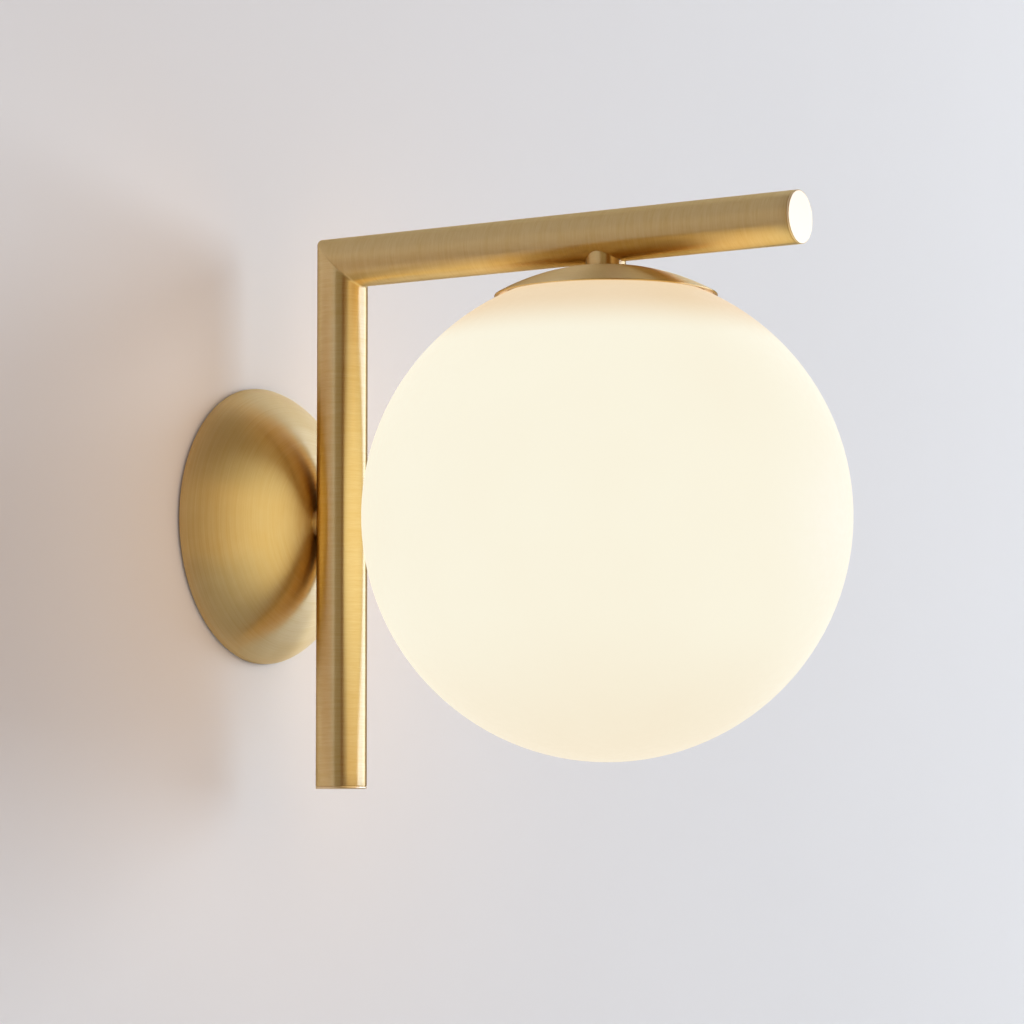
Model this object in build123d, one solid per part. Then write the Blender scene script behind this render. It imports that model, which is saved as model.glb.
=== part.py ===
from build123d import *
from math import acos, asin, atan2, cos, pi, radians, sin, sqrt
import os

# Globe wall sconce, in millimetres. The origin is the centre of the rose's back, on the wall.
# The wall is the plane y = 0, the lamp stands out from it along -Y, and +Z is up.

# Clearances
seat_gap = 0.3        # between a seated piece and what carries it
thread_gap = 0.05     # radial, screw in tapped hole
slip_gap = 0.05       # radial, plug or slug in a tube
braze_gap = 0.02      # between curved faces that are brazed together
pass_gap = 0.2        # radial, nipple or screw through a clearance hole
size_tolerance = 0.01 # for finding an edge or a corner by its place

# Mitred brass tubes
tube_d = 21.7
tube_wall = 1.2
upright_out = 41.8    # wall to the upright's axis
upright_drop = 113.5  # rose centre down to the upright's end
arm_rise = 111.6      # rose centre up to the arm's axis
arm_reach = 260.7     # wall to the arm's free end

# End caps of the tubes
end_cap_t = 1.0
end_cap_edge = 0.35
spigot_length = 6.0
spigot_wall = 1.2

# Rose, a spun dish: 1 gives it the section of a flat dome, 2 that of an ellipse
rose_d = 119.2
rose_height = 30.4
rose_lip = 1.0
rose_fullness = 1.5
rose_flat_r = 9.0
rose_sheet = 1.2
section_points = 12    # along its curved section

# Collar between the rose and the upright
collar_d = 13.0

# Hollow threaded nipples and their nuts
nipple_d = 10.0
nipple_bore_d = 7.5
nut_flats = 14.0
nut_t = 3.0
nut_edge = 0.5
nut_proud = 0.9       # nipple showing past its nut
washer_d = 16.0
washer_t = 0.6

# Tapped slugs inside the tubes
slug_length = 18.0
slug_depth = 6.0      # thread engaged under each nipple
slug_proud = 0.7      # slug past the end of its nipple

# Wall bracket, pressed steel
bracket_sheet = 1.5
ear_margin = 5.2      # outer face of an ear to the rose's rim
bracket_height = 18.0
slot_spacing = 60.0
slot_length = 12.0
slot_width = 4.8
cable_hole_d = 12.0
ear_depth = 8.0
ear_corner_r = 4.0
ear_hole_y = -4.8
bend_r = 1.0          # inside of the bend
tab_width = 34.0
tab_drop = 36.0
tab_corner_r = 3.0
earth_screw_x = 17.0

# Fixing of the rose to the ears
grub_d = 4.0
grub_length = 6.4
grub_socket_flats = 2.0
grub_socket_depth = 2.0
catch_d = 3.8
catch_length = 4.5

# Slotted screws: thread diameter, head diameter and head height
earth_screw_size = (4.0, 7.2, 2.4)
block_screw_size = (2.5, 3.8, 1.5)
holder_screw_size = (3.0, 5.0, 1.8)
slot_share = 0.4      # slot depth as a share of the head's height
head_round_share = 0.33
slot_cut_w = 0.7

# Terminal block with three poles
block_width = 30.0
block_height = 15.0
block_depth = 12.0
block_top_z = -18.0
block_edge_r = 1.0
pole_pitch = 10.0
barrel_d = 4.8
barrel_bore_d = 3.0
barrel_inset = 1.0
clamp_screw_d = 2.5
clamp_screw_inset = 3.5
clamp_head_recess = 0.8
block_counterbore = 4.5

# Earth tag under the rose nut
tag_d = 14.0
tag_t = 0.6
tag_width = 4.0
tag_clear = 1.0       # tail outside the nut
crimp_d = 3.4
crimp_length = 5.0
crimp_from_wall = 15.0

# Insulated wires
wire_d = 1.9
wire_pair = 2.8       # centre to centre, side by side
wire_nipple_bend_r = 6.0
wire_mitre_bend_r = 28.0
wire_stem_bend_r = 7.5
wire_in_pole = 6.0
wire_clear = 0.5      # end of a nipple to the start of the wire's bend
fan_length = 6.2      # over which the pair spreads to the contacts
fan_straight = 1.55   # straight into a contact
bend_share = 0.45     # of the shorter run, for the bends near the ends
nipple_in_cup = 0.7   # end of the nipple above the cup's inner face

# Opal glass globe
globe_d = 200.0
globe_out = 171.7     # wall to the globe's centre
glass_t = 2.4
neck_d = 80.0
glass_edge_r = 0.9

# Cap over the globe's neck, a spun dish
cap_d = 91.6
cap_height = 12.2
cap_lip = 0.1
cap_knuckle_r = 0.8
cap_sheet = 0.7
cap_gap = 1.2         # rim above the glass

# Stem between the cap and the arm
stem_d = 16.5
stem_show = 2.05      # cap to the arm's underside
cap_flat_margin = 1.0

# Silicone ring under the cap
gasket_t = 0.45
gasket_in_r = 40.8
gasket_out_r = 44.2

# Carrier plate and its three spring clips
carrier_d = 48.0
carrier_t = 1.2
clip_count = 3
clip_first_angle = 90.0
clip_width = 8.0
clip_t = 0.5
clip_root_r = 12.0
clip_bend_r = 27.5
clip_lean = 30.0      # degrees from upright where it bears on the glass
clip_gap = 0.5        # flank to the glass edge, at the clip's middle
clip_above = 2.6
clip_below = 3.4
clip_tip_r = 36.0
clip_tip_drop = 8.0
clip_fold_r = 1.6
rivet_d = 3.0
rivet_head_d = 5.0
rivet_head_t = 0.7
rivet_r = 18.0

# Lampholder: metal cup and ceramic socket with two pin contacts
holder_hang = 31.1    # carrier plate's underside to the cup's top
cup_d = 27.0
cup_wall = 1.0
cup_top_t = 3.0
cup_height = 20.0
flange_inset = 10.0   # cup's top to the socket's flange
flange_t = 6.0
socket_length = 20.0
socket_width = 13.0
socket_drop = 10.0
socket_corner_r = 2.0
recess_length = 14.6
recess_width = 7.6
recess_depth = 6.0
pin_spacing = 9.0
contact_d = 4.8
contact_bore_d = 2.6
contact_depth = 6.5
contact_top_t = 0.8
contact_pocket_gap = 0.1
holder_screw_pitch = 18.4

# Bulb with two pins
pin_d = 1.8
pin_length = 8.6
pin_round_share = 0.33
bulb_d = 17.0
bulb_base_height = 8.0
bulb_base_edge = 1.0
bulb_cover_length = 47.0
bulb_cover_wall = 1.0
core_width = 7.0
core_length = 36.0
led_rows = 5
led_size = 3.0
led_t = 0.6
led_pitch = 6.4
led_first = 6.0       # top of the core to the first row's centre

# Places worked out from the sizes above
tube_r = tube_d / 2
bore_r = tube_r - tube_wall
upright_y = -upright_out
arm_end_y = -arm_reach
globe_y = -globe_out
globe_r = globe_d / 2
neck_r = neck_d / 2
nipple_r = nipple_d / 2
passage_r = nipple_r + pass_gap
bracket_half = rose_d / 2 - ear_margin
rose_inner_y = rose_sheet - rose_height
rose_nut_y = rose_inner_y + washer_t + tag_t
rose_nipple_y = rose_nut_y + nut_t + nut_proud
upright_nipple_y = upright_y + bore_r - slug_depth
cap_top_z = arm_rise - tube_r - stem_show
cap_rim_z = cap_top_z - cap_height
globe_z = cap_rim_z - cap_gap - sqrt(globe_r**2 - (cap_d / 2) ** 2)
cap_flat_r = stem_d / 2 + cap_flat_margin
cap_nut_z = cap_top_z - cap_sheet - washer_t
carrier_top_z = cap_nut_z - nut_t
carrier_low_z = carrier_top_z - carrier_t
arm_nipple_z = arm_rise - bore_r + slug_depth
holder_top_z = carrier_low_z - holder_hang
holder_inner_z = holder_top_z - cup_top_t
flange_top_z = holder_top_z - flange_inset
socket_low_z = flange_top_z - flange_t - socket_drop
recess_top_z = socket_low_z + recess_depth
bulb_base_z = socket_low_z - seat_gap
bulb_cover_z = bulb_base_z - bulb_base_height
block_y = -bracket_sheet - block_depth / 2
block_front_y = -bracket_sheet - block_depth
block_low_z = block_top_z - block_height
pole_xs = (-pole_pitch, 0, pole_pitch)
clamp_zs = (block_top_z - clamp_screw_inset, block_low_z + clamp_screw_inset)
upright_wire_y = upright_nipple_y - wire_nipple_bend_r - wire_clear
arm_wire_z = arm_nipple_z + wire_stem_bend_r + wire_clear


# Round bars along each axis, given by their two ends
def rod_x(radius, x_from, x_to, y=0, z=0):
    return Pos((x_from + x_to) / 2, y, z) * Rot(0, 90, 0) * Cylinder(radius, abs(x_to - x_from))


def rod_y(radius, y_from, y_to, x=0, z=0):
    return Pos(x, (y_from + y_to) / 2, z) * Rot(90, 0, 0) * Cylinder(radius, abs(y_to - y_from))


def rod_z(radius, z_from, z_to, x=0, y=0):
    return Pos(x, y, (z_from + z_to) / 2) * Cylinder(radius, abs(z_to - z_from))


# Rectangular block between two opposite corners
def block(low, high):
    size = [high[i] - low[i] for i in range(3)]
    middle = [(high[i] + low[i]) / 2 for i in range(3)]
    return Pos(*middle) * Box(*size)


# Point at an angle in radians on a circle
def on_circle(centre_x, centre_y, radius, angle):
    return (centre_x + radius * cos(angle), centre_y + radius * sin(angle))


# Centre height and radius of the crown arc that is tangent to the knuckle and ends at the flat
def crown_arc(rim_r, lip, knuckle_r, height, flat_r):
    rise = height - lip
    knuckle_centre = rim_r - knuckle_r
    known = flat_r**2 + height**2 + knuckle_r**2 - knuckle_centre**2 - lip**2
    a = (rise / knuckle_r) ** 2 - 1
    b = 2 * height - known * rise / knuckle_r**2
    c = (known / (2 * knuckle_r)) ** 2 - flat_r**2 - height**2
    centre_z = (-b - sqrt(b**2 - 4 * a * c)) / (2 * a)
    return centre_z, sqrt(flat_r**2 + (height - centre_z) ** 2)


# One face of a dish: lip, knuckle arc and crown arc, from the rim to the edge of the flat
def dish_face(rim_r, lip, knuckle_r, crown_z, crown_r, top_z):
    tangent = atan2(lip - crown_z, rim_r - knuckle_r)
    flat_edge = asin((top_z - crown_z) / crown_r)
    rim = (rim_r, 0)
    lip_end = (rim_r, lip)
    knuckle_mid = on_circle(rim_r - knuckle_r, lip, knuckle_r, tangent / 2)
    knuckle_end = on_circle(0, crown_z, crown_r, tangent)
    crown_mid = on_circle(0, crown_z, crown_r, (tangent + flat_edge) / 2)
    crown_end = on_circle(0, crown_z, crown_r, flat_edge)
    edges = [
        Line(rim, lip_end),
        ThreePointArc(lip_end, knuckle_mid, knuckle_end),
        ThreePointArc(knuckle_end, crown_mid, crown_end),
    ]
    return edges, rim, crown_end


# Spun dish of even sheet with its rim on z = 0 and a hole in its flat centre
def dished_shell(rim_r, lip, knuckle_r, height, flat_r, hole_r, sheet):
    crown_z, crown_r = crown_arc(rim_r, lip, knuckle_r, height, flat_r)
    outer, outer_rim, outer_flat = dish_face(rim_r, lip, knuckle_r, crown_z, crown_r, height)
    inner, inner_rim, inner_flat = dish_face(
        rim_r - sheet, lip, knuckle_r - sheet, crown_z, crown_r - sheet, height - sheet
    )
    hole_top = (hole_r, height)
    hole_low = (hole_r, height - sheet)
    edges = outer + inner + [
        Line(outer_rim, inner_rim),
        Line(outer_flat, hole_top),
        Line(hole_top, hole_low),
        Line(hole_low, inner_flat),
    ]
    return revolve(Plane.XZ * make_face(edges), Axis.Z)


# Flat ring along Z from z_low to z_high
def ring_z(outer_r, inner_r, z_low, z_high):
    return rod_z(outer_r, z_low, z_high) - rod_z(inner_r, z_low, z_high)


# Hexagon nut with chamfered corners, its lower face on z = 0
def nut():
    prism = extrude(RegularPolygon(nut_flats / 2, 6, major_radius=False), nut_t)
    turned = rod_z(nut_flats / 2 / cos(radians(30)), 0, nut_t)
    turned = chamfer(turned.edges().filter_by(GeomType.CIRCLE), nut_edge)
    return prism & turned - rod_z(nipple_r + thread_gap, 0, nut_t)


# Slotted screw with the underside of its head on z = 0 and its shank below
def slotted_screw(size, length):
    thread_d, head_d, head_h = size
    head = rod_z(head_d / 2, 0, head_h)
    head = fillet(head.edges().sort_by(Axis.Z)[-1], head_round_share * head_h)
    slot_depth = slot_share * head_h
    half = slot_cut_w / 2
    slot = block((-head_d, -half, head_h - slot_depth), (head_d, half, head_h))
    return head + rod_z(thread_d / 2, -length, 0) - slot


# Hollow threaded nipple along Z
def nipple(z_low, z_high):
    return ring_z(nipple_r, nipple_bore_d / 2, z_low, z_high)


# Move a piece from the Z axis to the globe's vertical axis
def over_globe(piece, angle=0):
    return Pos(0, globe_y, 0) * Rot(0, 0, angle) * piece


# Lay a piece from the Z axis onto the rose's axis, with +Z turned to -Y
def on_rose_axis(piece):
    return Rot(90, 0, 0) * piece


# ---- Wall bracket ----


def mounting_bracket():
    half_h = bracket_height / 2
    inner = bracket_half - bracket_sheet
    # Strip with two bent ears, seen from above
    section = make_face(
        Polyline(
            (-bracket_half, 0),
            (bracket_half, 0),
            (bracket_half, -ear_depth),
            (inner, -ear_depth),
            (inner, -bracket_sheet),
            (-inner, -bracket_sheet),
            (-inner, -ear_depth),
            (-bracket_half, -ear_depth),
            close=True,
        )
    )
    heels = section.vertices().group_by(Axis.Y)
    section = fillet(heels[-1], bend_r + bracket_sheet)
    throats = section.vertices().filter_by(
        lambda v: abs(v.Y + bracket_sheet) < size_tolerance and abs(v.X) > inner - size_tolerance
    )
    section = fillet(throats, bend_r)
    strip = Pos(0, 0, -half_h) * extrude(section, bracket_height)
    tips = strip.edges().filter_by(Axis.X).group_by(Axis.Y)[0]
    strip = fillet(tips, ear_corner_r)
    tab = block((-tab_width / 2, -bracket_sheet, -tab_drop), (tab_width / 2, 0, 0))
    low_corners = tab.edges().filter_by(Axis.Y).group_by(Axis.Z)[0]
    plate = strip + fillet(low_corners, tab_corner_r)
    slot = rod_y(slot_width / 2, -bracket_sheet, 0)
    straight = (slot_length - slot_width) / 2
    slot = Pos(-straight, 0, 0) * slot + Pos(straight, 0, 0) * slot
    slot += block((-straight, -bracket_sheet, -slot_width / 2), (straight, 0, slot_width / 2))
    for side in (-1, 1):
        plate -= Pos(side * slot_spacing / 2, 0, 0) * slot
        plate -= rod_x(grub_d / 2 + thread_gap, side * inner, side * bracket_half, ear_hole_y)
    plate -= rod_y(cable_hole_d / 2, -bracket_sheet, 0)
    plate -= rod_y(earth_screw_size[0] / 2 + thread_gap, -bracket_sheet, 0, earth_screw_x)
    for x in block_screw_xs():
        plate -= rod_y(block_screw_size[0] / 2 + thread_gap, -bracket_sheet, 0, x, block_mid_z())
    return plate


def bracket_earth_screw():
    screw = slotted_screw(earth_screw_size, bracket_sheet)
    return Pos(earth_screw_x, -bracket_sheet, 0) * on_rose_axis(screw)


# ---- Terminal block ----


def block_screw_xs():
    return (-pole_pitch / 2, pole_pitch / 2)


def block_mid_z():
    return (block_top_z + block_low_z) / 2


def block_screw_seat_y():
    return block_front_y + block_counterbore


def terminal_block():
    half = block_width / 2
    body = block((-half, block_front_y, block_low_z), (half, -bracket_sheet, block_top_z))
    body = fillet(body.edges().filter_by(Axis.Z), block_edge_r)
    barrel_hole = barrel_d / 2 + slip_gap
    for x in pole_xs:
        body -= rod_z(barrel_hole, block_low_z, block_top_z, x, block_y)
        for z in clamp_zs:
            body -= rod_y(clamp_screw_d / 2 + pass_gap, block_front_y, block_y, x, z)
    for x in block_screw_xs():
        seat = block_screw_seat_y()
        body -= rod_y(block_screw_size[1] / 2 + slip_gap, block_front_y, seat, x, block_mid_z())
        body -= rod_y(block_screw_size[0] / 2 + slip_gap, seat, -bracket_sheet, x, block_mid_z())
    return body


def terminal_barrels():
    low = block_low_z + barrel_inset
    high = block_top_z - barrel_inset
    barrels = []
    for x in pole_xs:
        barrel = rod_z(barrel_d / 2, low, high, x, block_y)
        barrel -= rod_z(barrel_bore_d / 2, low, high, x, block_y)
        for z in clamp_zs:
            barrel -= rod_y(clamp_screw_d / 2 + thread_gap, block_front_y, block_y, x, z)
        barrels.append(barrel)
    return barrels


# The clamping screws stop just short of the wires in their barrels
def terminal_screws():
    tip = block_y - wire_d / 2 - slip_gap
    top = block_front_y + clamp_head_recess
    screws = []
    for x in pole_xs:
        for z in clamp_zs:
            screw = rod_y(clamp_screw_d / 2, top, tip, x, z)
            slot_floor = top + clamp_screw_d * slot_share / 2
            screw -= block(
                (x - clamp_screw_d, top, z - slot_cut_w / 2),
                (x + clamp_screw_d, slot_floor, z + slot_cut_w / 2),
            )
            screws.append(screw)
    return screws


def terminal_block_screws():
    seat = block_screw_seat_y()
    screw = on_rose_axis(slotted_screw(block_screw_size, -seat))
    return [Pos(x, seat, block_mid_z()) * screw for x in block_screw_xs()]


# ---- Rose ----


# One face of the rose, as points from above its lip to the edge of its flat
def rose_face(inset):
    span = rose_d / 2 - inset - rose_flat_r
    rise = rose_height - rose_lip - inset
    points = []
    for i in range(section_points + 1):
        turn = pi / 2 * i / section_points
        points.append(
            (rose_flat_r + span * cos(turn), rose_lip + rise * sin(turn) ** (2 / rose_fullness))
        )
    return points


# Distance of one of the rose's faces from its axis, at a height above its lip
def rose_side_r(inset, height):
    span = rose_d / 2 - inset - rose_flat_r
    share = (height - rose_lip) / (rose_height - rose_lip - inset)
    return rose_flat_r + span * sqrt(1 - share**rose_fullness)


def rose():
    sides = []
    for inset in (0, rose_sheet):
        face = rose_face(inset)
        rim = (face[0][0], 0)
        hole = (passage_r, rose_height - inset)
        sides.append((rim, hole))
        sides.append([
            Line(rim, face[0]),
            Spline(*face, tangents=[(0, 1), (-1, 0)], tangent_scalars=[1, 1]),
            Line(face[-1], hole),
        ])
    (outer_rim, outer_hole), outer, (inner_rim, inner_hole), inner = sides
    edges = outer + inner + [Line(outer_rim, inner_rim), Line(outer_hole, inner_hole)]
    shell = on_rose_axis(revolve(Plane.XZ * make_face(edges), Axis.Z))
    return shell - rod_x(grub_d / 2 + pass_gap, bracket_half, rose_d / 2, ear_hole_y)


# Pin brazed inside the rose, which hooks into the bracket's left ear
def rose_catch():
    outer = braze_gap - rose_side_r(rose_sheet, catch_d / 2 - ear_hole_y)
    return rod_x(catch_d / 2, outer, outer + catch_length, ear_hole_y)


def rose_screw():
    outer = rose_side_r(0, -ear_hole_y) - seat_gap
    screw = rod_x(grub_d / 2, outer - grub_length, outer, ear_hole_y)
    socket = extrude(
        RegularPolygon(grub_socket_flats / 2, 6, major_radius=False), grub_socket_depth
    )
    return screw - Pos(outer, ear_hole_y, 0) * Rot(0, -90, 0) * socket


def rose_nipple():
    return on_rose_axis(nipple(-rose_nipple_y, -upright_nipple_y))


def rose_washer():
    return on_rose_axis(
        ring_z(washer_d / 2, passage_r, -rose_inner_y - washer_t, -rose_inner_y)
    )


# Ring under the rose nut, with a tail that turns back and ends in a crimped barrel
def earth_tag():
    back_y = rose_nut_y
    front_y = back_y - tag_t
    tail_z = -nut_flats / 2 - tag_clear
    half = tag_width / 2
    ring = rod_y(tag_d / 2, front_y, back_y)
    neck = block((-half, front_y, tail_z - tag_t), (half, back_y, 0))
    crimp_end_y = -crimp_from_wall - crimp_length
    tail = block((-half, front_y, tail_z - tag_t), (half, crimp_end_y, tail_z))
    axis_z = tail_z - tag_t / 2
    crimp = rod_y(crimp_d / 2, crimp_end_y, -crimp_from_wall, 0, axis_z)
    tag = ring + neck + tail + crimp - rod_y(passage_r, front_y, back_y)
    return tag - rod_y(wire_d / 2 + slip_gap, crimp_end_y + tag_t, -crimp_from_wall, 0, axis_z)


def rose_nut():
    return Pos(0, rose_nut_y, 0) * Rot(-90, 0, 0) * nut()


def rose_collar():
    collar = rod_y(collar_d / 2, -rose_height, upright_y) - rod_y(passage_r, 0, upright_y)
    return collar - rod_z(tube_r + braze_gap, -collar_d, collar_d, 0, upright_y)


# ---- Mitred tubes ----


def mitre_plane():
    return Plane(origin=(0, upright_y, arm_rise), x_dir=(1, 0, 0), z_dir=(0, -1, 1))


def upright_tube():
    low = -upright_drop + end_cap_t
    high = arm_rise + tube_d
    tube = rod_z(tube_r, low, high, 0, upright_y) - rod_z(bore_r, low, high, 0, upright_y)
    tube = split(tube, bisect_by=mitre_plane(), keep=Keep.BOTTOM)
    return tube - rod_y(passage_r, upright_y, upright_y + tube_d)


def arm_tube():
    near = upright_y + tube_d
    far = arm_end_y + end_cap_t
    tube = rod_y(tube_r, far, near, 0, arm_rise) - rod_y(bore_r, far, near, 0, arm_rise)
    tube = split(tube, bisect_by=mitre_plane(), keep=Keep.TOP)
    return tube - rod_z(passage_r, arm_rise - tube_d, arm_rise, 0, globe_y)


# Disc with a hollow spigot below it, its outer face on z = 0
def end_cap():
    disc = rod_z(tube_r, -end_cap_t, 0)
    disc = chamfer(disc.edges().sort_by(Axis.Z)[-1], end_cap_edge)
    spigot_r = bore_r - slip_gap
    low = -end_cap_t - spigot_length
    return disc + ring_z(spigot_r, spigot_r - spigot_wall, low, -end_cap_t)


def upright_end_cap():
    return Pos(0, upright_y, -upright_drop) * Rot(180, 0, 0) * end_cap()


def arm_end_cap():
    return Pos(0, arm_end_y, arm_rise) * Rot(90, 0, 0) * end_cap()


# Slug in the upright's back, tapped for the rose nipple and open in front for the wires
def upright_bush():
    half = slug_length / 2
    slug = rod_z(bore_r - slip_gap, -half, half, 0, upright_y)
    front = upright_nipple_y - slug_proud
    slug -= block((-tube_r, upright_y - tube_r, -half), (tube_r, front, half))
    return slug - rod_y(nipple_r + thread_gap, upright_y, 0)


# Slug in the arm's floor, tapped for the stem nipple and open on top for the wires
def arm_bush():
    half = slug_length / 2
    slug = rod_y(bore_r - slip_gap, globe_y - half, globe_y + half, 0, arm_rise)
    top = arm_nipple_z + slug_proud
    slug -= block((-tube_r, globe_y - half, top), (tube_r, globe_y + half, arm_rise + tube_r))
    return slug - rod_z(nipple_r + thread_gap, arm_rise - tube_r, arm_rise, 0, globe_y)


# ---- Stem and cap ----


def stem():
    post = ring_z(stem_d / 2, passage_r, cap_top_z, arm_rise)
    saddle = rod_y(tube_r + braze_gap, globe_y - stem_d, globe_y + stem_d, 0, arm_rise)
    return over_globe(post) - saddle


def stem_nipple():
    return over_globe(nipple(holder_inner_z + nipple_in_cup, arm_nipple_z))


def shade_cap():
    dish = dished_shell(
        cap_d / 2, cap_lip, cap_knuckle_r, cap_height, cap_flat_r, passage_r, cap_sheet
    )
    return over_globe(Pos(0, 0, cap_rim_z) * dish)


# Ring that follows the inside of the cap near its rim
def globe_gasket():
    crown_z, crown_r = crown_arc(cap_d / 2, cap_lip, cap_knuckle_r, cap_height, cap_flat_r)
    top_r = crown_r - cap_sheet - slip_gap
    low_r = top_r - gasket_t
    inner_angle = acos(gasket_in_r / top_r)
    outer_angle = acos(gasket_out_r / top_r)
    mid_angle = (inner_angle + outer_angle) / 2
    centre_z = cap_rim_z + crown_z
    corners = [
        [on_circle(0, centre_z, radius, angle) for angle in (inner_angle, mid_angle, outer_angle)]
        for radius in (top_r, low_r)
    ]
    top, low = corners
    edges = [
        ThreePointArc(*top),
        ThreePointArc(*low),
        Line(top[0], low[0]),
        Line(top[2], low[2]),
    ]
    return over_globe(revolve(Plane.XZ * make_face(edges), Axis.Z))


def cap_washer():
    return over_globe(ring_z(washer_d / 2, passage_r, cap_nut_z, cap_nut_z + washer_t))


def cap_nut():
    return over_globe(Pos(0, 0, cap_nut_z - nut_t) * nut())


# ---- Globe carrier ----


def clip_angles():
    return [clip_first_angle + 360 * i / clip_count for i in range(clip_count)]


def carrier_plate():
    plate = ring_z(carrier_d / 2, passage_r, carrier_low_z, carrier_top_z)
    hole = rod_z(rivet_d / 2 + slip_gap, carrier_low_z, carrier_top_z, rivet_r)
    for angle in clip_angles():
        plate -= Rot(0, 0, angle) * hole
    return over_globe(plate)


def carrier_nut():
    return over_globe(Pos(0, 0, carrier_low_z - nut_t) * nut())


# Leaf spring: flat root, arm out to the neck, flank that bears under the glass edge, lead-in tip
def globe_clip():
    lean = radians(clip_lean)
    edge_z = globe_z + sqrt((globe_r - glass_t) ** 2 - neck_r**2)
    offset = clip_gap + clip_t / 2
    bear_r = neck_r - offset * cos(lean)
    bear_z = edge_z - offset * sin(lean)
    root_z = carrier_low_z - clip_t / 2
    nose_z = bear_z - clip_below * cos(lean)
    path = FilletPolyline(
        (clip_root_r, 0, root_z),
        (clip_bend_r, 0, root_z),
        (bear_r - clip_above * sin(lean), 0, bear_z + clip_above * cos(lean)),
        (bear_r + clip_below * sin(lean), 0, nose_z),
        (clip_tip_r, 0, nose_z - clip_tip_drop),
        radius=clip_fold_r,
    )
    section = Plane(origin=path @ 0, x_dir=(0, 1, 0), z_dir=path % 0) * Rectangle(clip_width, clip_t)
    strip = sweep(section, path=path)
    low = carrier_low_z - clip_t
    return strip - rod_z(rivet_d / 2 + slip_gap, low, carrier_low_z, rivet_r)


def globe_clips():
    clip = globe_clip()
    return [over_globe(clip, angle) for angle in clip_angles()]


def clip_rivets():
    low = carrier_low_z - clip_t
    rivet = rod_z(rivet_d / 2, low, carrier_top_z, rivet_r)
    rivet += rod_z(rivet_head_d / 2, carrier_top_z, carrier_top_z + rivet_head_t, rivet_r)
    rivet += rod_z(rivet_head_d / 2, low - rivet_head_t, low, rivet_r)
    return [over_globe(rivet, angle) for angle in clip_angles()]


# ---- Globe ----


def globe():
    faces = []
    for radius in (globe_r, globe_r - glass_t):
        neck_angle = acos(neck_r / radius)
        mid_angle = (neck_angle - pi / 2) / 2
        angles = (neck_angle, mid_angle, -pi / 2)
        faces.append([on_circle(0, 0, radius, angle) for angle in angles])
    outer, inner = faces
    edges = [
        ThreePointArc(*outer),
        ThreePointArc(*inner),
        Line(outer[0], inner[0]),
        Line(outer[2], inner[2]),
    ]
    shell = revolve(Plane.XZ * make_face(edges), Axis.Z)
    circles = shell.edges().filter_by(GeomType.CIRCLE)
    neck = circles.filter_by(lambda e: abs(e.radius - neck_r) < size_tolerance)
    return Pos(0, globe_y, globe_z) * fillet(neck, glass_edge_r)


# ---- Lampholder ----


def holder_nut():
    return over_globe(Pos(0, 0, holder_top_z) * nut())


def holder_screw_ys():
    return (-holder_screw_pitch / 2, holder_screw_pitch / 2)


def lampholder_cup():
    low = holder_top_z - cup_height
    cup = rod_z(cup_d / 2, low, holder_top_z)
    cup = fillet(cup.edges().sort_by(Axis.Z)[-1], cup_wall)
    cup -= rod_z(cup_d / 2 - cup_wall, low, holder_inner_z)
    cup -= rod_z(nipple_r + thread_gap, holder_inner_z, holder_top_z)
    for y in holder_screw_ys():
        cup -= rod_z(holder_screw_size[0] / 2 + thread_gap, holder_inner_z, holder_top_z, 0, y)
    return over_globe(cup)


# Ceramic socket: round flange, oblong nose with a recess for the bulb and two contact pockets
def lampholder_body():
    flange_low = flange_top_z - flange_t
    flange_r = cup_d / 2 - cup_wall - seat_gap
    half_l = socket_length / 2
    half_w = socket_width / 2
    nose = block((-half_l, -half_w, socket_low_z), (half_l, half_w, flange_low))
    nose = fillet(nose.edges().filter_by(Axis.Z), socket_corner_r)
    body = rod_z(flange_r, flange_low, flange_top_z) + nose
    body -= block(
        (-recess_length / 2, -recess_width / 2, socket_low_z),
        (recess_length / 2, recess_width / 2, recess_top_z),
    )
    pocket_low = flange_top_z - contact_depth - contact_pocket_gap
    for side in (-1, 1):
        x = side * pin_spacing / 2
        body -= rod_z(contact_d / 2 + contact_pocket_gap, pocket_low, flange_top_z, x)
        body -= rod_z(contact_bore_d / 2, recess_top_z, pocket_low, x)
    for y in holder_screw_ys():
        body -= rod_z(holder_screw_size[0] / 2 + pass_gap, flange_low, flange_top_z, 0, y)
    return over_globe(body)


# Sleeves that grip the bulb's pins, closed on top where the wires are joined
def lampholder_contacts():
    low = flange_top_z - contact_depth
    contacts = []
    for side in (-1, 1):
        x = side * pin_spacing / 2
        sleeve = rod_z(contact_d / 2, low, flange_top_z, x)
        sleeve -= rod_z(contact_bore_d / 2, low, flange_top_z - contact_top_t, x)
        contacts.append(over_globe(sleeve))
    return contacts


def lampholder_screws():
    flange_low = flange_top_z - flange_t
    length = holder_top_z - flange_low
    screw = Rot(180, 0, 0) * slotted_screw(holder_screw_size, length)
    return [over_globe(Pos(0, y, flange_low) * screw) for y in holder_screw_ys()]


# ---- Bulb ----


# Round skirt with an oblong tongue that goes into the socket's recess
def bulb_base():
    skirt = rod_z(bulb_d / 2, bulb_cover_z, bulb_base_z)
    skirt = chamfer(skirt.edges().sort_by(Axis.Z)[-1], bulb_base_edge)
    half_l = recess_length / 2 - seat_gap
    half_w = recess_width / 2 - seat_gap
    tongue_top = recess_top_z - seat_gap
    tongue = block((-half_l, -half_w, bulb_base_z), (half_l, half_w, tongue_top))
    return over_globe(skirt + tongue)


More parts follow.
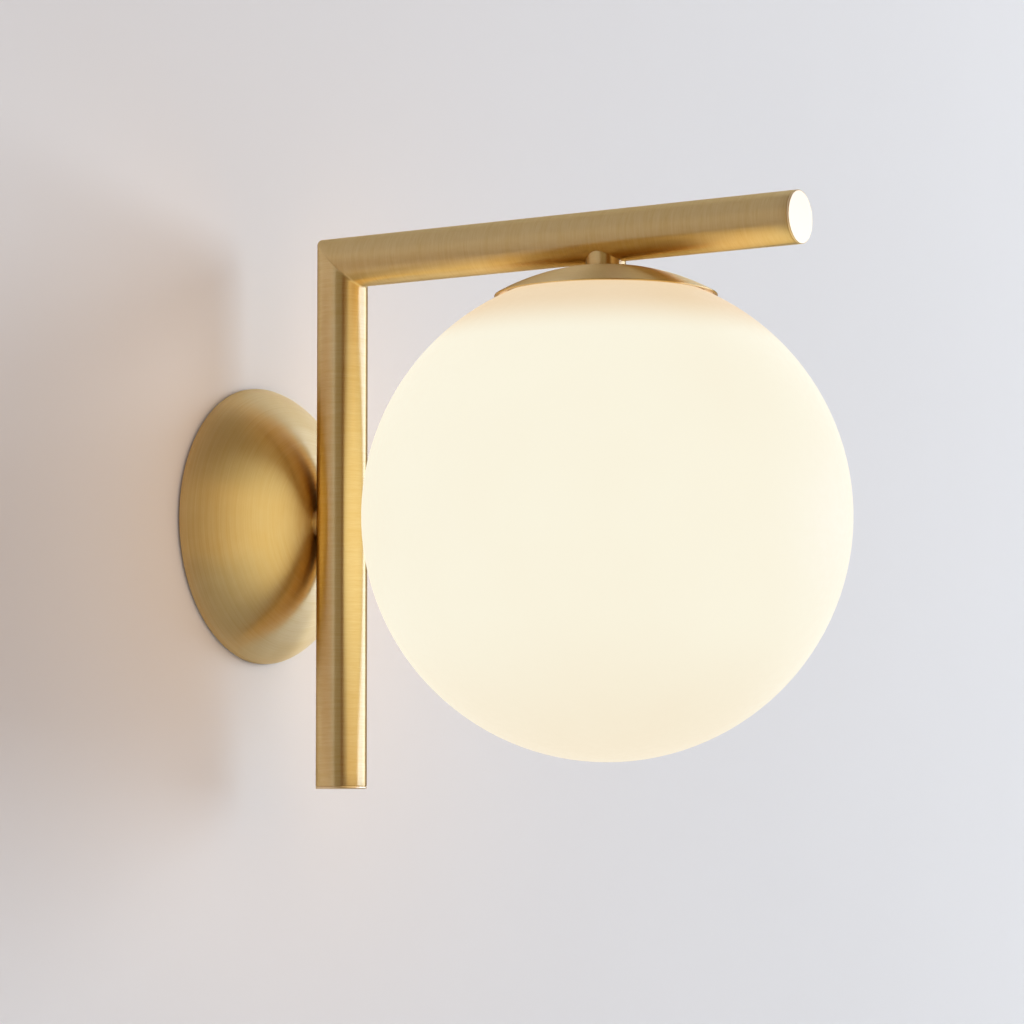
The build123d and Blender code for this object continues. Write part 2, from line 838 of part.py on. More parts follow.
def bulb_pins():
    low = recess_top_z - seat_gap
    pins = []
    for side in (-1, 1):
        pin = rod_z(pin_d / 2, low, low + pin_length, side * pin_spacing / 2)
        pin = fillet(pin.edges().sort_by(Axis.Z)[-1], pin_round_share * pin_d)
        pins.append(over_globe(pin))
    return pins


# Clear tube with a domed end
def bulb_cover():
    outer_r = bulb_d / 2
    low = bulb_cover_z - bulb_cover_length + outer_r
    shell = rod_z(outer_r, low, bulb_cover_z) + Pos(0, 0, low) * Sphere(outer_r)
    inner_r = outer_r - bulb_cover_wall
    shell -= rod_z(inner_r, low, bulb_cover_z) + Pos(0, 0, low) * Sphere(inner_r)
    return over_globe(shell)


def bulb_core():
    half = core_width / 2
    low = bulb_cover_z - core_length
    return over_globe(block((-half, -half, low), (half, half, bulb_cover_z)))


# Light-emitting chips in rows on the four sides of the core
def bulb_leds():
    chips = []
    half = led_size / 2
    for row in range(led_rows):
        z = bulb_cover_z - led_first - row * led_pitch
        chip = block((core_width / 2, -half, z - half), (core_width / 2 + led_t, half, z + half))
        chips += [over_globe(chip, 90 * side) for side in range(4)]
    return chips


# ---- Wires ----


# Round wire along straight runs with tangent arcs, with its radii and length printed
def wire(name, points, radii):
    path = FilletPolyline(*points, radius=radii)
    section = Plane(origin=path @ 0, z_dir=path % 0) * Circle(wire_d / 2)
    solid = sweep(section, path=path)
    share = solid.volume / (pi * (wire_d / 2) ** 2 * path.length)
    shown = ", ".join(f"{r:.1f}" for r in radii)
    print(f"{name}: radii {shown} mm, length {path.length:.0f} mm")
    print(f"{name}: volume over section x length {share:.4f}")
    return solid


# Arc that turns from one run to the next within a share of the shorter one
def free_radius(before, corner, after):
    first = Vector(corner) - Vector(before)
    second = Vector(after) - Vector(corner)
    half_turn = radians(first.get_angle(second)) / 2
    return bend_share * min(first.length, second.length) / sin(half_turn) * cos(half_turn)


# From a pole of the terminal block, through both nipples and tubes, to a contact of the lampholder
def supply_wire(name, side):
    x = side * wire_pair / 2
    pole_x = side * pole_pitch
    contact_x = side * pin_spacing / 2
    turn_y = (block_y + rose_nipple_y) / 2
    contact_z = flange_top_z
    points = [
        (pole_x, block_y, block_top_z - wire_in_pole),
        (pole_x, block_y, block_top_z + wire_in_pole),
        (x, turn_y, 0),
        (x, upright_wire_y, 0),
        (x, upright_wire_y, arm_wire_z),
        (x, globe_y, arm_wire_z),
        (x, globe_y, contact_z + fan_length),
        (contact_x, globe_y, contact_z + fan_straight),
        (contact_x, globe_y, contact_z),
    ]
    radii = [
        free_radius(*points[0:3]),
        free_radius(*points[1:4]),
        wire_nipple_bend_r,
        wire_mitre_bend_r,
        wire_stem_bend_r,
        free_radius(*points[5:8]),
        free_radius(*points[6:9]),
    ]
    return wire(name, points, radii)


def earth_wire():
    tail_z = -nut_flats / 2 - tag_clear - tag_t / 2
    points = [
        (0, block_y, block_top_z - wire_in_pole),
        (0, block_y, tail_z),
        (0, -crimp_from_wall - crimp_length + 2 * tag_t, tail_z),
    ]
    return wire("earth_wire", points, [crimp_from_wall + block_y - wire_d / 2])


nodes = {
    "mounting_bracket": mounting_bracket(),
    "bracket_earth_screw": bracket_earth_screw(),
    "terminal_block": terminal_block(),
    "terminal_barrels": terminal_barrels(),
    "terminal_screws": terminal_screws(),
    "terminal_block_screws": terminal_block_screws(),
    "rose": rose(),
    "rose_catch": rose_catch(),
    "rose_screw": rose_screw(),
    "rose_nipple": rose_nipple(),
    "rose_washer": rose_washer(),
    "earth_tag": earth_tag(),
    "rose_nut": rose_nut(),
    "rose_collar": rose_collar(),
    "upright_bush": upright_bush(),
    "upright_tube": upright_tube(),
    "upright_end_cap": upright_end_cap(),
    "arm_tube": arm_tube(),
    "arm_end_cap": arm_end_cap(),
    "arm_bush": arm_bush(),
    "stem": stem(),
    "stem_nipple": stem_nipple(),
    "shade_cap": shade_cap(),
    "globe_gasket": globe_gasket(),
    "cap_washer": cap_washer(),
    "cap_nut": cap_nut(),
    "carrier_plate": carrier_plate(),
    "carrier_nut": carrier_nut(),
    "globe_clips": globe_clips(),
    "clip_rivets": clip_rivets(),
    "globe": globe(),
    "holder_nut": holder_nut(),
    "lampholder_cup": lampholder_cup(),
    "lampholder_body": lampholder_body(),
    "lampholder_contacts": lampholder_contacts(),
    "lampholder_screws": lampholder_screws(),
    "bulb_base": bulb_base(),
    "bulb_pins": bulb_pins(),
    "bulb_cover": bulb_cover(),
    "bulb_core": bulb_core(),
    "bulb_leds": bulb_leds(),
    "live_wire": supply_wire("live_wire", -1),
    "neutral_wire": supply_wire("neutral_wire", 1),
    "earth_wire": earth_wire(),
}

os.makedirs("parts", exist_ok=True)
for name, piece in nodes.items():
    solids = piece if isinstance(piece, list) else [piece]
    bodies = [solid for item in solids for solid in item.solids()]
    export_step(Compound(bodies), f"parts/{name}.step")
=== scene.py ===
import math

import bpy
import numpy as np
from mathutils import Matrix, Vector


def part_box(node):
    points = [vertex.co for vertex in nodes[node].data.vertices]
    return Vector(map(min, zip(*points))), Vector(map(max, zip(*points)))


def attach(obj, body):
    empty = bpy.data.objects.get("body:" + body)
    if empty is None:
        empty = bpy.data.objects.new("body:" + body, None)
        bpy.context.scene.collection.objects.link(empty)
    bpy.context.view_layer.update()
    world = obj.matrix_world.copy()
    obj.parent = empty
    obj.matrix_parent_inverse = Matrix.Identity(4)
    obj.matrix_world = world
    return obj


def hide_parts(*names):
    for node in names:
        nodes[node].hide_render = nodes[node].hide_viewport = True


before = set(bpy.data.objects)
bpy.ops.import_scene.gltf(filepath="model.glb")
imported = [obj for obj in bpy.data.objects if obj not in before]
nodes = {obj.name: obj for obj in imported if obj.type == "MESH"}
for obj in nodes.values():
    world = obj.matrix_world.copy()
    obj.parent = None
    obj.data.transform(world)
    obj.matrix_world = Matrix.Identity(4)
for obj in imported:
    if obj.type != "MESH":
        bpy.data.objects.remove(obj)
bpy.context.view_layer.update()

print("frame loaded with", len(nodes), "nodes")

mm = 0.001

# camera, placed by the outlines of the globe, the tubes and the rose
cameraSet = {
    "place": (-1.2146, -0.85923, -0.1269), "azimuth": -58.902, "pitch": 5.1225, "roll": -0.0988,
    "lens": 120.88, "sensor": 36, "clip": (0.01, 100),
}


def makeCamera(c):
    # looks along the azimuth and pitch, with right and up turned about that line by the roll
    azimuth, pitch, roll = (math.radians(c[key]) for key in ("azimuth", "pitch", "roll"))
    ahead = Vector(
        (-math.sin(azimuth) * math.cos(pitch), math.cos(azimuth) * math.cos(pitch), math.sin(pitch))
    )
    side = Vector((math.cos(azimuth), math.sin(azimuth), 0))
    above = side.cross(ahead)
    right = math.cos(roll) * side + math.sin(roll) * above
    up = math.cos(roll) * above - math.sin(roll) * side
    data = bpy.data.cameras.new("camera")
    data.lens = c["lens"]
    data.sensor_width = c["sensor"]
    data.clip_start, data.clip_end = c["clip"]
    camera = bpy.data.objects.new("camera", data)
    turn = Matrix((right, up, -ahead)).transposed().to_4x4()
    camera.matrix_world = Matrix.Translation(c["place"]) @ turn
    bpy.context.scene.collection.objects.link(camera)
    bpy.context.scene.camera = camera


makeCamera(cameraSet)
print("camera placed")


# node helpers
def addNode(tree, kind, inputs=None, **settings):
    # a new node, with its settings, and each input either linked or given a value
    node = tree.nodes.new(kind)
    node.location = (180 * len(tree.nodes), 0)
    for key, value in settings.items():
        setattr(node, key, value)
    for key, value in (inputs or {}).items():
        if isinstance(value, bpy.types.NodeSocket):
            tree.links.new(value, node.inputs[key])
        else:
            node.inputs[key].default_value = value
    return node


def sums(tree, operation, *values):
    # one Math node's result
    node = addNode(tree, "ShaderNodeMath", dict(enumerate(values)), operation=operation)
    return node.outputs[0]


def vectorSums(tree, operation, *values, output="Vector"):
    # one Vector Math node's result
    node = addNode(tree, "ShaderNodeVectorMath", operation=operation)
    for slotIndex, value in enumerate(values):
        key = "Scale" if operation == "SCALE" and slotIndex == 1 else slotIndex
        if isinstance(value, bpy.types.NodeSocket):
            tree.links.new(value, node.inputs[key])
        else:
            node.inputs[key].default_value = value
    return node.outputs[output]


def remap(tree, value, fromLow, fromHigh, toLow, toHigh, smooth=False):
    kind = "SMOOTHSTEP" if smooth else "LINEAR"
    inputs = {
        "Value": value, "From Min": fromLow, "From Max": fromHigh, "To Min": toLow, "To Max": toHigh
    }
    return addNode(tree, "ShaderNodeMapRange", inputs, interpolation_type=kind).outputs["Result"]


def mixColour(tree, share, first, second, blend="MIX"):
    node = addNode(tree, "ShaderNodeMix", data_type="RGBA", blend_type=blend)
    for key, value in ((0, share), (6, first), (7, second)):
        if isinstance(value, bpy.types.NodeSocket):
            tree.links.new(value, node.inputs[key])
        else:
            node.inputs[key].default_value = value if key == 0 else (*value, 1)
    return node.outputs[2]


def newGroup(name, inputs, outputs):
    # an empty shader group with named sockets, and its two end nodes
    group = bpy.data.node_groups.new(name, "ShaderNodeTree")
    for label, kind, value in inputs:
        socket = group.interface.new_socket(label, in_out="INPUT", socket_type=kind)
        socket.default_value = value
    for label, kind in outputs:
        group.interface.new_socket(label, in_out="OUTPUT", socket_type=kind)
    return group, addNode(group, "NodeGroupInput"), addNode(group, "NodeGroupOutput")


def placeGroup(tree, group, **inputs):
    node = tree.nodes.new("ShaderNodeGroup")
    node.node_tree = group
    node.location = (180 * len(tree.nodes), 0)
    for label, value in inputs.items():
        if isinstance(value, bpy.types.NodeSocket):
            tree.links.new(value, node.inputs[label])
        else:
            node.inputs[label].default_value = value
    return node


# shared effects
lineSet = {"fineShare": 0.65, "wideShare": 0.35, "wideScale": 0.31, "spread": (0.3, 0.7)}


def makeTurnedLines(s=lineSet):
    # fine lines round an axis: noise of (way round) * Turns + Axis * (height - radius) / Spacing
    number, vector = "NodeSocketFloat", "NodeSocketVector"
    group, start, end = newGroup(
        "turnedLines",
        [("Position", vector, (0, 0, 0)), ("Centre", vector, (0, 0, 0)), ("Axis", vector, (0, 0, 1)),
         ("Spacing", number, 0.0004), ("Turns", number, 2.0)],
        [("Lines", number)],
    )
    arm = vectorSums(group, "SUBTRACT", start.outputs["Position"], start.outputs["Centre"])
    height = vectorSums(group, "DOT_PRODUCT", arm, start.outputs["Axis"], output="Value")
    flat = vectorSums(group, "SUBTRACT", arm, vectorSums(group, "SCALE", start.outputs["Axis"], height))
    radius = vectorSums(group, "LENGTH", flat, output="Value")
    across = sums(group, "DIVIDE", sums(group, "SUBTRACT", height, radius), start.outputs["Spacing"])
    around = vectorSums(group, "SCALE", vectorSums(group, "NORMALIZE", flat), start.outputs["Turns"])
    place = vectorSums(group, "ADD", around, vectorSums(group, "SCALE", start.outputs["Axis"], across))
    fine = addNode(
        group, "ShaderNodeTexNoise", {"Vector": place, "Scale": 1.0, "Detail": 2.0, "Roughness": 0.6}
    )
    wide = addNode(
        group, "ShaderNodeTexNoise",
        {"Vector": vectorSums(group, "SCALE", place, s["wideScale"]), "Scale": 1.0, "Detail": 1.0}
    )
    both = sums(
        group, "ADD", sums(group, "MULTIPLY", fine.outputs["Fac"], s["fineShare"]),
        sums(group, "MULTIPLY", wide.outputs["Fac"], s["wideShare"])
    )
    group.links.new(remap(group, both, *s["spread"], 0.0, 1.0), end.inputs["Lines"])
    return group


cloudSet = {"slowSpread": (0.3, 0.7), "speckScale": 19.0, "speckSpread": (0.35, 0.65)}


def makeCloud(s=cloudSet):
    # slow change over a surface, and fine specks: two noises, each spread from 0 to 1
    number, vector = "NodeSocketFloat", "NodeSocketVector"
    group, start, end = newGroup(
        "cloud", [("Position", vector, (0, 0, 0)), ("Size", number, 0.02)],
        [("Cloud", number), ("Specks", number)]
    )
    scaled = vectorSums(
        group, "SCALE", start.outputs["Position"], sums(group, "DIVIDE", 1.0, start.outputs["Size"])
    )
    slow = addNode(
        group, "ShaderNodeTexNoise", {"Vector": scaled, "Scale": 1.0, "Detail": 3.0, "Roughness": 0.55}
    )
    quick = addNode(
        group, "ShaderNodeTexNoise", {"Vector": scaled, "Scale": s["speckScale"], "Detail": 2.0}
    )
    group.links.new(remap(group, slow.outputs["Fac"], *s["slowSpread"], 0.0, 1.0), end.inputs["Cloud"])
    group.links.new(remap(group, quick.outputs["Fac"], *s["speckSpread"], 0.0, 1.0), end.inputs["Specks"])
    return group


wearSet = {"round": 0.0003, "spread": (1.0, 0.8), "samples": 4}


def makeEdgeWear(s=wearSet):
    # where the face's normal leaves the one of a slightly rounded edge: the dot product of the two,
    # turned over and spread from 0 to 1
    number, vector = "NodeSocketFloat", "NodeSocketVector"
    group, start, end = newGroup(
        "edgeWear", [("Radius", number, s["round"])], [("Edge", number), ("Rounded", vector)]
    )
    rounded = addNode(
        group, "ShaderNodeBevel", {"Radius": start.outputs["Radius"]}, samples=s["samples"]
    )
    plain = addNode(group, "ShaderNodeNewGeometry")
    meet = vectorSums(
        group, "DOT_PRODUCT", rounded.outputs["Normal"], plain.outputs["Normal"], output="Value"
    )
    group.links.new(remap(group, meet, *s["spread"], 0.0, 1.0), end.inputs["Edge"])
    group.links.new(rounded.outputs["Normal"], end.inputs["Rounded"])
    return group


dustSet = {"faceUp": (0.35, 1.0), "speckScale": 900.0, "speckSpread": (0.4, 0.7), "least": 0.3}


def makeRestingDust(s=dustSet):
    # thin dust on what faces up: smoothstep of the normal's height, broken by noise
    number, vector = "NodeSocketFloat", "NodeSocketVector"
    group, start, end = newGroup(
        "restingDust", [("Position", vector, (0, 0, 0)), ("Amount", number, 0.2)], [("Dust", number)]
    )
    faceUp = vectorSums(
        group, "DOT_PRODUCT", addNode(group, "ShaderNodeNewGeometry").outputs["Normal"], (0, 0, 1),
        output="Value"
    )
    specks = addNode(
        group, "ShaderNodeTexNoise",
        {"Vector": start.outputs["Position"], "Scale": s["speckScale"], "Detail": 2.0}
    )
    amount = sums(
        group, "MULTIPLY", remap(group, faceUp, *s["faceUp"], 0.0, 1.0, True), start.outputs["Amount"]
    )
    broken = remap(group, specks.outputs["Fac"], *s["speckSpread"], s["least"], 1.0)
    group.links.new(sums(group, "MULTIPLY", amount, broken), end.inputs["Dust"])
    return group


turnedLines = makeTurnedLines()
cloud = makeCloud()
edgeWear = makeEdgeWear()
restingDust = makeRestingDust()
print("shared effects built")


# materials
def newMaterial(name):
    # an empty material with a Principled shader, and its object coordinates
    material = bpy.data.materials.new(name)
    material.use_nodes = True
    tree = material.node_tree
    tree.nodes.clear()
    output = addNode(tree, "ShaderNodeOutputMaterial")
    shader = addNode(tree, "ShaderNodeBsdfPrincipled")
    tree.links.new(shader.outputs["BSDF"], output.inputs["Surface"])
    return material, tree, shader, addNode(tree, "ShaderNodeTexCoord").outputs["Object"]


brass = {
    "light": (1.0, 0.775, 0.375), "dark": (0.86, 0.60, 0.225), "rough": (0.33, 0.39), "brushed": 1.0,
    "spacing": 0.0005, "lineShare": 0.6, "lineStrength": 0.5, "lineDepth": 0.000006,
    "patch": 0.018, "patchShare": 0.4, "lacquer": 0.03, "lacquerRough": 0.25,
    "edge": (0.50, 0.42, 0.32), "dust": 0.08, "dustColour": (0.58, 0.54, 0.48), "dustRough": 0.5,
}


def brushedBrass(name, centre, axis, turns=1.5, b=brass):
    # satin brass: tone and gloss = fine lines round the piece's axis + slow patches,
    # and thin dust on what faces up
    material, tree, shader, place = newMaterial(name)
    lines = placeGroup(
        tree, turnedLines, Position=place, Centre=centre, Axis=axis, Spacing=b["spacing"], Turns=turns
    )
    patches = placeGroup(tree, cloud, Position=place, Size=b["patch"])
    dust = placeGroup(tree, restingDust, Position=place, Amount=b["dust"])
    fine = sums(tree, "MULTIPLY", lines.outputs["Lines"], b["lineShare"])
    tone = sums(tree, "ADD", fine, sums(tree, "MULTIPLY", patches.outputs["Cloud"], b["patchShare"]))
    colour = mixColour(tree, tone, b["dark"], b["light"])
    colour = mixColour(tree, dust.outputs["Dust"], colour, b["dustColour"])
    tree.links.new(colour, shader.inputs["Base Color"])
    shader.inputs["Metallic"].default_value = 1.0
    shader.inputs["Specular Tint"].default_value = (*b["edge"], 1)
    rough = remap(tree, tone, 0.0, 1.0, *b["rough"])
    rough = sums(tree, "ADD", rough, sums(tree, "MULTIPLY", dust.outputs["Dust"], b["dustRough"]))
    tree.links.new(rough, shader.inputs["Roughness"])
    height = {
        "Height": lines.outputs["Lines"], "Strength": b["lineStrength"], "Distance": b["lineDepth"]
    }
    tree.links.new(addNode(tree, "ShaderNodeBump", height).outputs["Normal"], shader.inputs["Normal"])
    # the brushing spreads a reflection across its lines: normal x (axis x (place - centre))
    arm = vectorSums(tree, "SUBTRACT", place, centre)
    around = vectorSums(tree, "NORMALIZE", vectorSums(tree, "CROSS_PRODUCT", axis, arm))
    facing = addNode(tree, "ShaderNodeNewGeometry").outputs["Normal"]
    across = vectorSums(tree, "NORMALIZE", vectorSums(tree, "CROSS_PRODUCT", facing, around))
    tree.links.new(across, shader.inputs["Tangent"])
    shader.inputs["Anisotropic"].default_value = b["brushed"]
    shader.inputs["Coat Weight"].default_value = b["lacquer"]
    shader.inputs["Coat Roughness"].default_value = b["lacquerRough"]
    return material


# metals: two tones in patches, gloss from and to, share of rubbed edge, depth of the grain
metalSet = {
    "zincSteel": {
        "light": (0.72, 0.695, 0.65), "dark": (0.56, 0.54, 0.51), "rough": (0.28, 0.42),
        "patch": 0.006, "rubbed": 0.5, "grain": 0.000015,
    },
    "springSteel": {
        "light": (0.60, 0.60, 0.60), "dark": (0.47, 0.47, 0.48), "rough": (0.20, 0.30),
        "patch": 0.009, "rubbed": 0.4, "grain": 0.000008,
    },
    "turnedBrass": {
        "light": (0.80, 0.60, 0.30), "dark": (0.66, 0.46, 0.20), "rough": (0.22, 0.34),
        "patch": 0.007, "rubbed": 0.4, "grain": 0.000010,
    },
    "greenScrew": {
        "light": (0.10, 0.34, 0.14), "dark": (0.06, 0.24, 0.09), "rough": (0.3, 0.42),
        "patch": 0.003, "rubbed": 0.6, "grain": 0.00001,
    },
}


def grainAndGloss(tree, shader, patches, wear, m, strength):
    # fine specks in the gloss and in the height, over edges that catch light as if rounded
    tree.links.new(
        remap(tree, patches.outputs["Specks"], 0.0, 1.0, *m["rough"]), shader.inputs["Roughness"]
    )
    height = {
        "Height": patches.outputs["Specks"], "Strength": strength, "Distance": m["grain"],
        "Normal": wear.outputs["Rounded"]
    }
    tree.links.new(addNode(tree, "ShaderNodeBump", height).outputs["Normal"], shader.inputs["Normal"])


def machinedMetal(name, m, strength=0.4, rubbedGain=1.25, edgeRound=0.0003):
    # plated or bare metal: two tones in a slow cloud, fine grain, and brighter rubbed edges
    material, tree, shader, place = newMaterial(name)
    patches = placeGroup(tree, cloud, Position=place, Size=m["patch"])
    wear = placeGroup(tree, edgeWear, Radius=edgeRound)
    colour = mixColour(tree, patches.outputs["Cloud"], m["dark"], m["light"])
    share = sums(tree, "MULTIPLY", wear.outputs["Edge"], m["rubbed"])
    bright = tuple(min(1.0, rubbedGain * part) for part in m["light"])
    tree.links.new(mixColour(tree, share, colour, bright), shader.inputs["Base Color"])
    shader.inputs["Metallic"].default_value = 1.0
    grainAndGloss(tree, shader, patches, wear, m, strength)
    return material


def dullMaterial(name, m, strength=0.5, edgeRound=0.00025):
    # plastic, rubber or ceramic: two near tones, fine grain in gloss and height
    material, tree, shader, place = newMaterial(name)
    patches = placeGroup(tree, cloud, Position=place, Size=m["patch"])
    wear = placeGroup(tree, edgeWear, Radius=edgeRound)
    tree.links.new(
        mixColour(tree, patches.outputs["Cloud"], m["dark"], m["light"]), shader.inputs["Base Color"]
    )
    grainAndGloss(tree, shader, patches, wear, m, strength)
    return material, tree, shader


metals = {name: machinedMetal(name, values) for name, values in metalSet.items()}
print("metals built")

opal = {
    "light": (1.0, 0.95, 0.77), "deep": (0.875, 0.676, 0.435), "glow": 0.94,
    "neck": (0.066, 0.084), "neckShare": 0.9, "foot": (-0.04, -0.1), "footShare": 0.34,
    "mirrored": (1.2, 1.18, 1.15), "thrown": (1.5, 1.05, 0.75), "patch": 0.06, "patchShare": 0.06,
    "radius": 0.1, "skin": (0.036, 0.035, 0.035), "skinShade": 0.96, "rough": (0.5, 0.58), "gloss": 0.1,
}


def opalGlass(o=opal):
    # lit etched opal: glow colour = light to deep by a smoothstep of the height, at the neck and a little
    # at the foot, a painted dimming of the glow there
    material, tree, shader, place = newMaterial("opalGlass")
    low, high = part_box("globe")
    middle = (low + high) / 2
    offset = vectorSums(tree, "SUBTRACT", place, (middle.x, middle.y, low.z + o["radius"]))
    height = addNode(tree, "ShaderNodeSeparateXYZ", {"Vector": offset}).outputs["Z"]
    patches = placeGroup(tree, cloud, Position=place, Size=o["patch"])
    # painted shade in the glow: deeper and dimmer towards the neck and a little towards the foot
    neck = remap(tree, height, *o["neck"], 0.0, o["neckShare"], True)
    foot = remap(tree, height, *o["foot"], 0.0, o["footShare"], True)
    share = sums(
        tree, "ADD", sums(tree, "ADD", neck, foot),
        sums(tree, "MULTIPLY", patches.outputs["Cloud"], o["patchShare"])
    )
    # what the brass mirrors and what falls on the wall is brighter than what the camera sees
    path = addNode(tree, "ShaderNodeLightPath").outputs
    lit = mixColour(tree, share, o["light"], o["deep"])
    lit = mixColour(tree, path["Is Glossy Ray"], lit, o["mirrored"], "MULTIPLY")
    lit = mixColour(tree, path["Is Diffuse Ray"], lit, o["thrown"], "MULTIPLY")
    tree.links.new(lit, shader.inputs["Emission Color"])
    shader.inputs["Emission Strength"].default_value = o["glow"]
    shaded = tuple(o["skinShade"] * part for part in o["skin"])
    tree.links.new(
        mixColour(tree, patches.outputs["Specks"], o["skin"], shaded), shader.inputs["Base Color"]
    )
    tree.links.new(
        remap(tree, patches.outputs["Specks"], 0.0, 1.0, *o["rough"]), shader.inputs["Roughness"]
    )
    shader.inputs["Specular IOR Level"].default_value = o["gloss"]
    return material


opalMaterial = opalGlass()

# plastics, rubber, ceramic and plain wires: two tones in patches, gloss from and to, depth of the grain
dullSet = {
    "blockPlastic": {
        "light": (0.80, 0.80, 0.76), "dark": (0.74, 0.74, 0.70), "rough": (0.38, 0.52),
        "patch": 0.01, "grain": 0.00002,
    },
    "silicone": {
        "light": (0.74, 0.74, 0.72), "dark": (0.66, 0.66, 0.63), "rough": (0.5, 0.62),
        "patch": 0.01, "grain": 0.00001,
    },
    "socketCeramic": {
        "light": (0.84, 0.82, 0.76), "dark": (0.76, 0.73, 0.66), "rough": (0.55, 0.75),
        "patch": 0.006, "grain": 0.00004,
    },
    "bulbPlastic": {
        "light": (0.82, 0.82, 0.80), "dark": (0.76, 0.76, 0.74), "rough": (0.3, 0.42),
        "patch": 0.01, "grain": 0.00001,
    },
    "brownWire": {
        "light": (0.16, 0.075, 0.035), "dark": (0.12, 0.05, 0.025), "rough": (0.35, 0.5),
        "patch": 0.004, "grain": 0.00001,
    },
    "blueWire": {
        "light": (0.035, 0.12, 0.34), "dark": (0.025, 0.09, 0.27), "rough": (0.35, 0.5),
        "patch": 0.004, "grain": 0.00001,
    },
}
dull = {name: dullMaterial(name, values)[0] for name, values in dullSet.items()}

stripeSet = {
    "light": (0.05, 0.26, 0.06), "dark": (0.04, 0.20, 0.045), "rough": (0.35, 0.5), "patch": 0.004,
    "grain": 0.00001, "stripe": (0.72, 0.55, 0.05), "stripeEdge": (0.55, 0.65),
}


def stripedWire(s=stripeSet):
    # green earth wire, yellow where the surface faces left or right: the size of its normal's x
    material, tree, shader = dullMaterial("greenWire", s)
    side = vectorSums(
        tree, "DOT_PRODUCT", addNode(tree, "ShaderNodeNewGeometry").outputs["Normal"], (1, 0, 0),
        output="Value"
    )
    stripe = remap(tree, sums(tree, "ABSOLUTE", side), *s["stripeEdge"], 0.0, 1.0)
    under = shader.inputs["Base Color"].links[0].from_socket
    tree.links.new(mixColour(tree, stripe, under, s["stripe"]), shader.inputs["Base Color"])
    return material


greenWire = stripedWire()

coverSet = {
    "light": (0.97, 0.97, 0.95), "dark": (0.93, 0.93, 0.91), "rough": (0.03, 0.09), "patch": 0.01,
    "bending": 1.3,
}


def clearPlastic(c=coverSet):
    # clear bulb cover: plain transmission, with a faint cloud in its gloss
    material, tree, shader, place = newMaterial("clearPlastic")
    patches = placeGroup(tree, cloud, Position=place, Size=c["patch"])
    tree.links.new(
        mixColour(tree, patches.outputs["Cloud"], c["dark"], c["light"]), shader.inputs["Base Color"]
    )
    tree.links.new(
        remap(tree, patches.outputs["Specks"], 0.0, 1.0, *c["rough"]), shader.inputs["Roughness"]
    )
    shader.inputs["Transmission Weight"].default_value = 1.0
    shader.inputs["IOR"].default_value = c["bending"]
    return material


chipSet = {
    "light": (0.85, 0.62, 0.16), "dark": (0.75, 0.52, 0.12), "rough": (0.4, 0.55), "patch": 0.002,
    "grain": 0.00001, "glow": 0.85, "glowDark": (1.0, 0.72, 0.36), "glowLight": (1.0, 0.80, 0.46),
}


def phosphor(c=chipSet):
    # yellow phosphor over a lit chip: two near tones in a cloud, both glowing
    material, tree, shader = dullMaterial("phosphor", c)
    place = addNode(tree, "ShaderNodeTexCoord").outputs["Object"]
    patches = placeGroup(tree, cloud, Position=place, Size=c["patch"])
    tree.links.new(
        mixColour(tree, patches.outputs["Cloud"], c["glowDark"], c["glowLight"]),
        shader.inputs["Emission Color"]
    )
    shader.inputs["Emission Strength"].default_value = c["glow"]
    return material


clearCover = clearPlastic()
litChips = phosphor()
print("glass, plastics and wires built")


# new pieces in millimetres, each one closed grid of points: a ring of columns carried along rows
tubeSet = {
    "radius": 10.85, "bore": 9.65, "out": 41.8, "rise": 111.6, "drop": 113.5, "reach": 260.7,
    "capThick": 1.0, "outerRound": 1.5, "innerRound": 0.9, "innerArc": 0.3, "endRound": 0.35,
    "hole": 5.2, "holeColumns": 12, "holeRows": 4, "holeStep": 1.05,
    "columns": 160, "step": 5.0, "elbowClear": 3.0, "arcRows": 6, "rimTurns": (1.57, 0.8),
}
tiny = 1e-9    # keeps a division from meeting zero


def facesOf(rows, columns, wrap):
    # four corners of every cell: the ring is always closed, the rows only when they wrap
    i = np.arange(rows if wrap else rows - 1)[:, None]
    j = np.arange(columns)[None, :]
    below, beside = (i + 1) % rows, (j + 1) % columns
    corners = [i * columns + j, i * columns + beside, below * columns + beside, below * columns + j]
    return np.stack(corners, -1).reshape(-1, 4)


def addPiece(name, points, faces, material, body, replaced):
    # a smooth mesh of quads (millimetres in, metres out), turned outward by the sign of its volume
    points = points * mm
    corners = points[faces]
    halves = [np.cross(corners[:, k], corners[:, k + 1]) for k in (1, 2)]
    volume = sum((corners[:, 0] * half).sum() for half in halves)
    if volume < 0:
        faces = faces[:, ::-1]
    mesh = bpy.data.meshes.new(name)
    mesh.from_pydata(points.tolist(), [], faces.tolist())
    mesh.validate()
    mesh.shade_smooth()
    mesh.materials.append(material)
    piece = bpy.data.objects.new(name, mesh)
    bpy.context.scene.collection.objects.link(piece)
    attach(piece, body)
    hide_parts(*replaced)
    return piece


